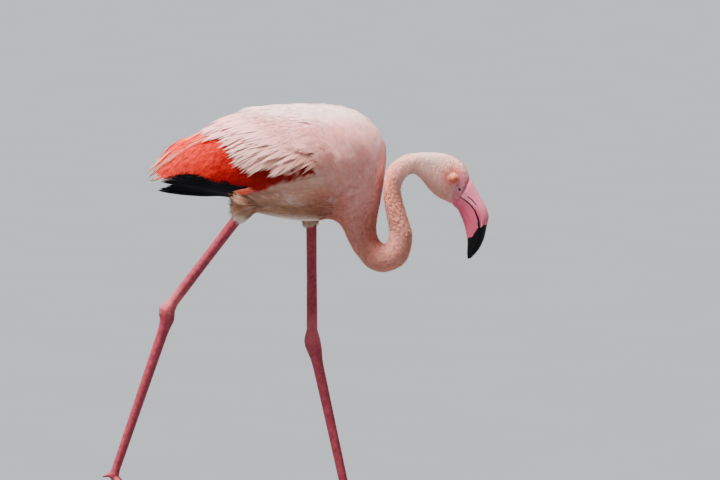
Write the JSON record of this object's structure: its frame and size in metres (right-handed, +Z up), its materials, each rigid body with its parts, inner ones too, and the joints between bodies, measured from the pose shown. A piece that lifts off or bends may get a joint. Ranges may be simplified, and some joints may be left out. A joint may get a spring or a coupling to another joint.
{
  "type": "greater flamingo",
  "caption": "Life-size still model of a wading greater flamingo, neck in an S, bill turned down, wings folded, striding through the shallows.",
  "frame": {"origin": "on the ground under the middle of the model's bounding box", "axes": "+X towards the bird's front, where the bill points; +Y to the bird's left; +Z up"},
  "size_m": [0.6701, 0.1758, 0.7431],
  "materials": {
    "plumage": "soft matte feathers, pale pink",
    "wing_coverts": "soft feathers, coral to deep red",
    "flight_feathers": "glossy black vanes",
    "bill": "horn, rose pink with a black tip, satin",
    "eye": "wet gloss",
    "leg_skin": "scaled skin, raspberry pink, satin",
    "claw": "dark horn, satin"
  },
  "bodies": {
    "root": {"trunk": "plumage", "thigh_left": "plumage", "thigh_right": "plumage", "tail": "plumage", "neck_1": "plumage", "neck_2": "plumage", "neck_3": "plumage", "neck_4": "plumage", "neck_5": "plumage", "head": "plumage", "wing_left": "wing_coverts", "wing_right": "wing_coverts", "primaries_left": "flight_feathers", "primaries_right": "flight_feathers", "bill_upper": "bill", "bill_lower": "bill", "eye_left": "eye", "eye_right": "eye", "shank_left": "leg_skin", "shank_right": "leg_skin", "tarsus_left": "leg_skin", "tarsus_right": "leg_skin", "foot_left": "leg_skin", "foot_right": "leg_skin", "claw_left_inner": "claw", "claw_left_middle": "claw", "claw_left_outer": "claw", "claw_right_inner": "claw", "claw_right_middle": "claw", "claw_right_outer": "claw"}
  },
  "joints": []
}
